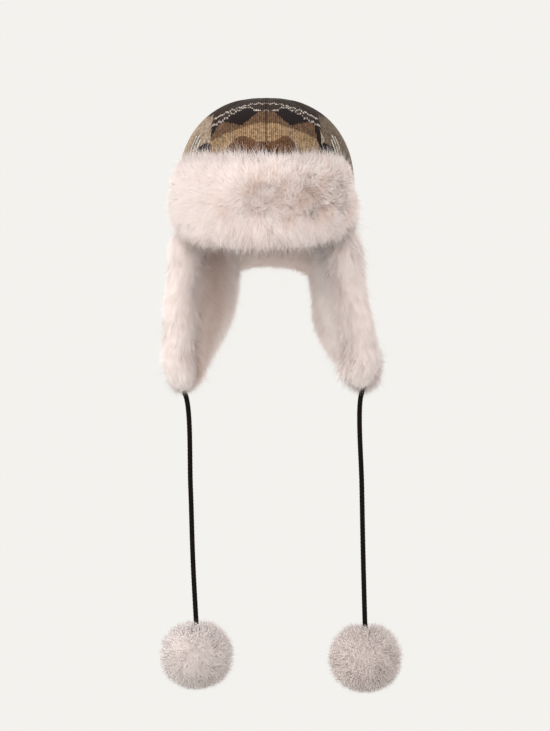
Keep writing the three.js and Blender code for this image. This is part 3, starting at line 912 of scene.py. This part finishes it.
def cuff():
    rng = np.random.default_rng(CUFF_SEED)
    back = cuff_surface(lambda u, v: KNIT + GAP + 0 * u)

    def corner(u, v):
        return smooth(np.abs(2 * u - 1), 0.7, 0.95) * (1 - smooth(v, 0.35, 0.65))

    def skin_out(u, v):
        return KNIT + GAP + CUFF_SKIN * CUFF_DEPTH * depth_share(u, v) * (1 - 0.3 * corner(u, v))

    face = cuff_surface(skin_out)
    skin = skin_between(60, 20, face, back, PALE_SKIN)
    u, v = scattered(rng, face, CUFF_HAIRS)
    root, along, down, _ = frame_at(face, u, v)
    out = unit(np.cross(down, along))
    beside = 2 * u - 1

    # The fur lies smooth on the left and in swirls and curls from the middle on
    swirl = smooth(u, 0.35, 0.62)
    unruly = 0.15 + 0.4 * swirl
    sideways = 0.5 * beside * smooth(v, 0, 0.5) + unruly * waves(root, 20, 3) - 0.35 * (1 - swirl)
    sideways = sideways + np.sign(beside) * smooth(np.abs(beside), 0.85, 1)
    upright = from_table(CUFF_LIE, "down", "tilt", v) + unruly * waves(root, 18, 4)
    flow = along * sideways[:, None] + down * upright[:, None]

    # Its parts: top and foot edges, both ends, the fuller lower right corner, the foot and the head
    edge = smooth(np.abs(2 * v - 1), 0.45, 1)
    end = corner(u, v)
    full = smooth(beside, 0.75, 1) * smooth(v, 0.55, 0.8)
    foot = smooth(v, 0.85, 1)
    head = 1 - smooth(v, 0, 0.12)

    loose = ((0.5 + 0.4 * swirl) * (1 - edge))[:, None]
    curl = along * waves(root, 7, 21)[:, None] + down * waves(root, 7, 22)[:, None]
    curl = loose * (curl * (0.2 + 0.7 * swirl)[:, None] + rng.normal(0, 0.35, root.shape))
    reach = (1 - CUFF_SKIN) * CUFF_DEPTH * depth_share(u, v) * 0.8 + 1
    look = fur_look(
        length=mix(13, 17, edge) * (1 - 0.5 * end + 0.2 * full) * (1 + 0.2 * head * waves(root, 12, 25)),
        reach=mix(reach, 4, edge) * (1 - 0.75 * end) + 4 * full,
        curl=curl,
        wild=0.12 + 0.15 * (foot + head),
        wild_length=1.25 + 0.4 * (foot + head),
        tuft=40,
        grip=0.05 + 0.3 * swirl,
        root_tone=mix(0.7 - 0.15 * swirl, 0.9, edge),
        tip_tone=1 - 0.3 * smooth(waves(root, 11, 61), 0, 0.8) * smooth(u, 0.3, 0.45) * (1 - edge),
        darkest=mix(0.3 - 0.1 * swirl, 0.15, edge),
        brightest=mix(0.5 + 0.5 * swirl, 0.42, edge),
        tuft_tone=0.5,
    )
    parts = [skin, hairs(rng, root, out, flow, look)]
    return fur_piece("cuff_fur_pile", parts, CREAM_FUR, "fur", "cuff_fur")


cuff()


# Ear flaps: fur that rolls over the front edge, lines the inside, rolls over the rear edge and closes
# round the tip. The share across runs from the outside of the front roll to that of the rear one

ROLL_SKIN = 11
ROLL_SHARE = 0.25
ROLL_TURN = 1.15
ROLL_BACK = 2
FUR_TIP = (96.5, 96.5, -318)
WALL_DEGREE = math.radians(105)
FLAP_SKIN_STEPS = (48, 40)

# roll is the front roll's thickness, out its middle's distance from the knit, and tip_loss the share that
# goes from both rolls towards the tip. bulge is the lining's, and shift and swell are the rear roll's.
# more is what hairs have beyond the usual length, and the tones are those of the lining and of the rolls. The
# left lining's darker tones are painted shade, the right lining's brighter ones are painted light, and the
# right roll's lower brightest tone is painted shade
LEFT_FUR = SimpleNamespace(
    roll=13, out=-4.5, tip_loss=0.35, bulge=3, shift=0, swell=0,
    front_more=1, rear_more=5, top_more=0,
    tone=0.3, tip_tone=0.75, darkest=0.6, streaks=0.6,
    roll_tone=0.7, roll_darkest=0.25, roll_brightest=0.9,
)
RIGHT_FUR = SimpleNamespace(
    roll=11, out=-3, tip_loss=0.55, bulge=11, shift=5, swell=5,
    front_more=0, rear_more=7, top_more=6,
    tone=0.75, tip_tone=0.95, darkest=0.85, streaks=0.2,
    roll_tone=0.8, roll_darkest=0.25, roll_brightest=0.55,
)


def lining_share(u):
    """How far across the lining, from its front roll to its rear one."""
    return np.clip((u - ROLL_SHARE) / (1 - 2 * ROLL_SHARE), 0, 1)


def fur_rows(fur, v):
    """Front and rear edge of a flap's fur, unrolled on the wall, and its height."""
    rows = [(row["front"] + ROLL_BACK, row["rear"] - ROLL_BACK, row["z"]) for row in EAR_FLAP_ROWS]
    front, rear, z = curve_through([*rows, FUR_TIP], v).T
    rear = rear + fur.shift * np.sin(np.pi * smooth(v, 0.2, 1))
    return front * WALL_DEGREE, rear * WALL_DEGREE, z + (LINING_TOP_Z - RIM_Z) * (1 - v) ** 8


def way_out(fur, v, column, sign):
    """The way out of the flap at one of its edges, along the wall and up. At the tip it is down."""
    above, below = (fur_rows(fur, np.clip(v + step, 0, 1)) for step in (-1e-3, 1e-3))
    run, fall = (below[k] - above[k] for k in (column, 2))
    way = unit(np.stack([-fall, run], -1) * sign)
    return unit(mix(way, [0, -1], smooth(v, 0.9, 1)[:, None])).T


def ear_flap_skins(side, fur):
    """The fur's face, round both rolls and the lining between them, and its flat back on the knit."""
    def face_at(u, v):
        front, rear, z = fur_rows(fur, v)
        across = lining_share(u)
        loss = 1 - fur.tip_loss * smooth(v, 0.65, 0.95)
        thick = mix(fur.roll, ROLL_SKIN, np.maximum(smooth(across, 0, 0.5), smooth(v, 0.7, 1)))
        thick = thick * np.sqrt(smooth(v, 0, 0.12)) * loss
        begun = smooth(v, 0.03, 0.15)
        swell = fur.swell * smooth(v, 0.27, 0.41) * (1 - smooth(v, 0.55, 0.78))
        first = np.pi * (1 - ROLL_TURN * (1 - np.minimum(1, u / ROLL_SHARE)))
        last = np.pi * ROLL_TURN * begun * np.maximum(0, (u - 1 + ROLL_SHARE) / ROLL_SHARE)
        bulge = fur.bulge * np.sin(np.pi * np.sqrt(across)) * smooth(v, 0, 0.2) * (1 - smooth(v, 0.7, 1))
        out = -thick - bulge
        out = np.where(u < ROLL_SHARE, np.cos(first) * thick, out)
        out = np.where(u > 1 - ROLL_SHARE, -np.cos(last) * thick, out)
        ahead = np.sin(first) * thick * way_out(fur, v, 0, -1)
        rear_thick = ROLL_SKIN * begun * loss + swell
        behind = np.sin(last) * rear_thick * way_out(fur, v, 1, 1)
        along = mix(front, rear, across) + ahead[0] + behind[0]
        return along, z + ahead[1] + behind[1], fur.out + out

    def face(u, v):
        along, z, out = face_at(u, v)
        return wall(side.sign * along / WALL_DEGREE, z, out)

    def back(u, v):
        ends = [face_at(np.full_like(v, end), v) for end in (0, 1)]
        along, z, out = (mix(first, last, u) for first, last in zip(*ends))
        flat = mix(fur.out, -GAP, smooth(v, 0, 0.1) * (1 - smooth(v, 0.9, 1)))
        return wall(side.sign * along / WALL_DEGREE, z, mix(flat, out, np.abs(2 * u - 1) ** 8))

    return face, back


FLAP_HAIRS = 57000


def ear_flap_fur(side, fur):
    rng = np.random.default_rng(side.flap_seed)
    face, back = ear_flap_skins(side, fur)
    u, v = scattered(rng, face, FLAP_HAIRS)
    root, along, down, _ = frame_at(face, u, v)
    out = unit(np.cross(along, down)) * side.sign
    across = lining_share(u)
    inside = smooth(across, 0, 0.25) * (1 - smooth(across, 0.8, 1))
    fan = (across - 0.25) * 1.1 + 0.35 * waves(root, 24, 6)
    flow = unit(down + along * fan[:, None] + DOWN * smooth(v, 0.5, 0.9)[:, None])
    low = np.where(u < 0.5, fur.front_more * smooth(v, 0.2, 0.42), fur.rear_more * smooth(v, 0.39, 0.57))
    high = np.where(u < 0.5, fur.top_more, 0) * (1 - smooth(v, 0.1, 0.3))
    more = (low + high) * (1 - inside)
    slim = 1 - 0.5 * smooth(v, 0.75, 0.95)
    streak = 1 - fur.streaks * (1 - smooth(waves(root * [1, 1, 0.35], 5, 41), -0.4, 0.6))
    # The tones differ by side: darker on the left lining as painted shade, brighter on the right lining as
    # painted light, and a darker right roll as painted shade
    look = fur_look(
        length=mix(14, 21, inside) + more * slim,
        reach=(mix(6, 11, inside) + more) * slim,
        sag=0.3,
        stray=mix(0.18, 0.24, inside)[:, None],
        tuft=26,
        grip=0.5,
        root_tone=mix(fur.roll_tone, fur.tone, inside),
        tip_tone=mix(1, fur.tip_tone, inside),
        darkest=mix(fur.roll_darkest, fur.darkest * streak, inside),
        brightest=mix(fur.roll_brightest, mix(0.25, 1, streak), inside),
        tuft_tone=0.75,
    )
    skin = skin_between(*FLAP_SKIN_STEPS, face, back, PALE_SKIN)
    name = "ear_flap_fur_" + side.name
    return fur_piece(name + "_pile", [skin, hairs(rng, root, out, flow, look)], CREAM_FUR, "fur", name)


ear_flap_fur(LEFT, LEFT_FUR)
ear_flap_fur(RIGHT, RIGHT_FUR)


# Neck flap: a lining on the inside, and a border that rolls round its free edge

LINING_SKIN = 0.55
LINING_HAIRS = 9000
NECK_BORDER_OUT = -3
NECK_BORDER_SKIN = 9.5
NECK_BORDER_HAIRS = 14000
NECK_SEED = 51


def tube(path, radius):
    """A surface round a path, whose radius is a function of the share along it."""
    along = unit(np.gradient(path, axis=0))
    side = unit(np.cross(along, [0, 0, 1.0]) + 1e-6)
    up = np.cross(side, along)
    at = np.linspace(0, 1, len(path))

    def on(line, v):
        return np.stack([np.interp(v, at, column) for column in line.T], 1)

    def surface(u, v):
        angle = 2 * np.pi * u[:, None]
        return on(path, v) + radius(v)[:, None] * (np.cos(angle) * on(side, v) + np.sin(angle) * on(up, v))

    surface.centre = lambda v: on(path, v)
    surface.along = lambda v: unit(on(along, v))
    return surface


def skin_round(surface, across, down, tone):
    """A closed skin over a surface that goes all the way round."""
    def place(column, v):
        return surface(column / across, v), np.zeros((len(v), 2))

    return arrays_of(closed_grid(across, down, place), tone)


def border_hairs(rng, surface, heart, look):
    """Hairs round a border, combed along it, away from the middle of the flap and down."""
    u, v = scattered(rng, surface, NECK_BORDER_HAIRS)
    root = surface(u, v)
    out = unit(root - surface.centre(v))
    free = unit(root - heart)
    astray = 0.3 * waves(root, 22, 8)[:, None] * np.cross(out, DOWN)
    flow = surface.along(v) * 0.7 + free * 0.5 + DOWN * 0.5 + astray
    return hairs(rng, root, out, unit(along_skin(flow, out)), look)


def neck_fur():
    rng = np.random.default_rng(NECK_SEED)
    half = NECK_ROWS[-1]["away"] + 0.2
    tones = {"root_tone": 0.6, "tip_tone": 0.8, "darkest": 0.8}

    def lining(out):
        def surface(u, v):
            azimuth = 180 + (2 * u - 1) * half
            return wall(azimuth, mix(LINING_TOP_Z, neck_edge(azimuth), v), out(u, v))

        return surface

    back = lining(lambda u, v: -GAP + 0 * u)
    face = lining(lambda u, v: -GAP - LINING_SKIN * LINING_DEPTH * depth_share(0.5 + 0 * u, v))
    parts = [skin_between(20, 8, face, back, DEEP_SKIN)]
    u, v = scattered(rng, face, LINING_HAIRS)
    root, along, down, _ = frame_at(face, u, v)
    out = unit(-root * [1, 1, 0])
    flow = unit(down + along * 0.3 * waves(root, 30, 9)[:, None])
    parts.append(hairs(rng, root, out, flow, fur_look(length=18, reach=9, sag=0.3, **tones)))

    shares = np.linspace(0, 1, 60)
    azimuth = 180 + (2 * shares - 1) * half
    roll = tube(wall(azimuth, neck_edge(azimuth) + 2, NECK_BORDER_OUT), lambda v: NECK_BORDER_SKIN + 0 * v)
    parts.append(skin_round(roll, 16, 30, DEEP_SKIN))
    heart = wall(180, RIM_Z, NECK_BORDER_OUT)
    look = fur_look(length=17, reach=8, stray=0.12, wild=0.05, sag=0.5, **tones)
    parts.append(border_hairs(rng, roll, heart, look))
    return fur_piece("neck_fur_pile", parts, CREAM_FUR, "fur", "neck_fur")


neck_fur()


# Pompoms

POMPOM_SKIN = 32.5
POMPOM_RISE = 2
POMPOM_HAIRS = 34000

# The hollow at a pompom's top, where its cord goes in: half width, depth, and the gap that its front has
HOLLOW_WIDTH = 9
HOLLOW_DEPTH = 6
PARTING = 4.5


def pompom(side):
    rng = np.random.default_rng(side.pompom_seed)
    heart = np.array(side.pompom, float)
    middle = heart + [0, 0, POMPOM_RISE]

    def ball(u, v):
        angle = 2 * np.pi * u
        around = np.sin(np.pi * v)
        radius = POMPOM_SKIN - HOLLOW_DEPTH * np.exp(-((np.pi * v * POMPOM_SKIN / HOLLOW_WIDTH) ** 2))
        way = np.stack([around * np.cos(angle), around * np.sin(angle), np.cos(np.pi * v)], 1)
        return middle + radius[:, None] * way

    def parted(points):
        """Hairs in front of the cord's end give way to both sides of it."""
        aside = points[..., 0] - heart[0]
        high = smooth(points[..., 2] - heart[2], 23, 28)
        ahead = 1 - smooth(points[..., 1] - heart[1], 0, 6)
        clear = np.maximum(0, PARTING * high * ahead - np.abs(aside))
        points[..., 0] += np.where(aside < 0, -1, 1) * clear
        return points

    parts = [skin_round(ball, 32, 24, PALE_SKIN)]
    u, v = scattered(rng, ball, POMPOM_HAIRS)
    root = ball(u, v)
    out = unit(root - middle)
    top = np.exp(-((np.linalg.norm(root[:, :2] - heart[:2], axis=1) / HOLLOW_WIDTH) ** 2)) * (out[:, 2] > 0)
    flow = np.stack([waves(root, 12, k) for k in (12, 13, 14)], 1) * 0.25 + rng.normal(0, 0.5, root.shape)
    curl = rng.normal(0, 0.4, root.shape) + np.stack([waves(root, 9, k) for k in (31, 32, 33)], 1) * 0.6
    foot = smooth(-out[:, 2], 0.6, 1)
    look = fur_look(
        length=12 - 5 * top - 3 * foot,
        reach=6.5 - 3 * top - 2 * foot,
        sag=0,
        bend=0.4,
        stray=0.2,
        curl=curl,
        tuft=30,
        grip=0.15,
        root_tone=0.7,
        # A lower brightest tone on the right pompom is painted shade
        brightest=side.pompom_brightest,
        shape=parted,
    )
    parts.append(hairs(rng, root, out, along_skin(flow, out), look))
    name = "pompom_" + side.name
    return fur_piece(name + "_pile", parts, POMPOM_FUR, "pompom_fur", name)


# Cords: three strands twisted together, from the tip of the flap into the pompom

STRANDS = 3
TWIST_PITCH = 13
STRAND_RELIEF = 0.4
YARN_FUZZ = 0.45
CORD_ROUND = 18
CORD_STEPS = 240


def cord(side, ball):
    last = EAR_FLAP_ROWS[-1]
    start = wall(side.sign * (last["front"] + last["rear"]) / 2, last["z"] - GAP, KNIT / 2)
    end = np.array(side.pompom, float) + [0, 0, CORD_END_ABOVE_HEART]
    points = np.vstack([start, start + DOWN * CORD_DIAMETER, side.cord, end])
    path = evenly(curve_through(points, np.linspace(0, 1, 400)), CORD_STEPS + 1)
    length = np.linalg.norm(np.diff(path, axis=0), axis=1).sum()

    def radius_at(u, v):
        turn = 2 * np.pi * (u - v * length / TWIST_PITCH)
        lobes = np.abs(np.cos(STRANDS * turn / 2)) ** 0.7
        ends = np.where((v < 1e-6) | (v > 1 - 1e-6), 0, 1)
        return (CORD_DIAMETER / 2 + YARN_FUZZ - STRAND_RELIEF * (1 - lobes)) * ends

    middle = tube(path, lambda v: np.ones_like(v))

    def place(column, v):
        u = column / CORD_ROUND
        centre = middle.centre(v)
        ring = centre + (middle(u, v) - centre) * radius_at(u, v)[:, None]
        return ring, np.stack([u, v], 1)

    name = "cord_" + side.name
    piece = object_of(name + "_twist", mesh_of(closed_grid(CORD_ROUND, CORD_STEPS, place), name), CORD_YARN)
    dress(piece, "cord", name)
    return piece


for side in (LEFT, RIGHT):
    cord(side, pompom(side))


# Stage: a pale floor well below, soft light from the upper left, and the photograph's camera

BACKDROP = "F3F2EE"
FLOOR_Z = -1200
FLOOR_RADIUS = 3500
FLOOR_TONE = "C6C5C2"


def floor():
    bm = bmesh.new()
    bmesh.ops.create_circle(bm, cap_ends=True, segments=96, radius=FLOOR_RADIUS)
    bmesh.ops.translate(bm, verts=bm.verts, vec=(0, 0, FLOOR_Z))
    inputs = {"Base Color": colour(FLOOR_TONE), "Roughness": 1, "Specular IOR Level": 0}
    material, _ = plain_material("floor_pale", inputs)
    object_of("floor", mesh_of(bm, "floor"), material)


# Square lamps that face the middle of the hat: places and sizes in metres, powers in watts
HAT_MIDDLE = Vector((0, 0, -0.3))
LAMP_TINT = (1.0, 0.99, 0.985)
LAMPS = [
    {"name": "key", "place": (-2.7, -2.6, 0.4), "size": 2.2, "power": 66},
    {"name": "fill", "place": (2.6, -2.8, 0.2), "size": 2.4, "power": 34},
    {"name": "front", "place": (-0.5, -3.6, 0.0), "size": 2.0, "power": 46},
    {"name": "rear", "place": (1.2, 3.4, 0.5), "size": 2.4, "power": 65},
]


def soft_light(name, place, size, power):
    lamp = bpy.data.lights.new(name, "AREA")
    lamp.size = size
    lamp.energy = power
    lamp.color = LAMP_TINT
    thing = in_scene(name, lamp)
    at = Vector(place)
    thing.rotation_euler = (HAT_MIDDLE - at).to_track_quat("-Z", "Y").to_euler()
    thing.location = at


LIGHT_FROM_BELOW = 0.86
LIGHT_FROM_ABOVE = 0.98


def world():
    """The backdrop's colour for the camera, and white light that is weaker from below."""
    sky = bpy.data.worlds.new("studio")
    bpy.context.scene.world = sky
    sky.use_nodes = True
    tree = sky.node_tree
    tree.nodes.clear()
    way = new_node(tree, "TexCoord", {})
    height = new_node(tree, "SeparateXYZ", {0: way.outputs["Generated"]}).outputs["Z"]
    ends = {"From Min": -1, "To Min": LIGHT_FROM_BELOW, "To Max": LIGHT_FROM_ABOVE}
    strength = new_node(tree, "MapRange", {"Value": height, **ends}).outputs[0]
    seen = new_node(tree, "Background", {"Color": colour(BACKDROP)}).outputs[0]
    given = new_node(tree, "Background", {"Color": (1, 1, 1, 1), "Strength": strength}).outputs[0]
    is_seen = new_node(tree, "LightPath", {}).outputs["Is Camera Ray"]
    either = new_node(tree, "MixShader", {0: is_seen, 1: given, 2: seen}).outputs[0]
    new_node(tree, "OutputWorld", {0: either})


# The camera looks level at the hat from a little to the right of its front
CAMERA_DISTANCE = 4000
CAMERA_TURN = math.radians(5)
PIXEL = 1.15
IMAGE_HEIGHT = 731
PIXEL_OF_AXIS = 266.5
PIXEL_OF_TOP = 98.3
IMAGE_MIDDLE = (275, 365.5)


def camera():
    sensor = 36
    lens = bpy.data.cameras.new("camera")
    lens.sensor_width = sensor
    lens.lens = sensor * CAMERA_DISTANCE / (PIXEL * IMAGE_HEIGHT)
    lens.clip_end = 20
    eye = in_scene("camera", lens)
    right = Vector((math.cos(CAMERA_TURN), math.sin(CAMERA_TURN), 0))
    ahead = Vector((-math.sin(CAMERA_TURN), math.cos(CAMERA_TURN), 0))
    across = (IMAGE_MIDDLE[0] - PIXEL_OF_AXIS) * PIXEL
    height = KNIT - (IMAGE_MIDDLE[1] - PIXEL_OF_TOP) * PIXEL
    place = right * across - ahead * CAMERA_DISTANCE + Vector((0, 0, height))
    turn = Matrix((right, Vector((0, 0, 1)), -ahead)).transposed()
    eye.matrix_world = Matrix.Translation(place * MM) @ turn.to_4x4()
    bpy.context.scene.camera = eye


floor()
world()
for lamp in LAMPS:
    soft_light(**lamp)
camera()
bpy.context.scene.view_settings.view_transform = "Standard"
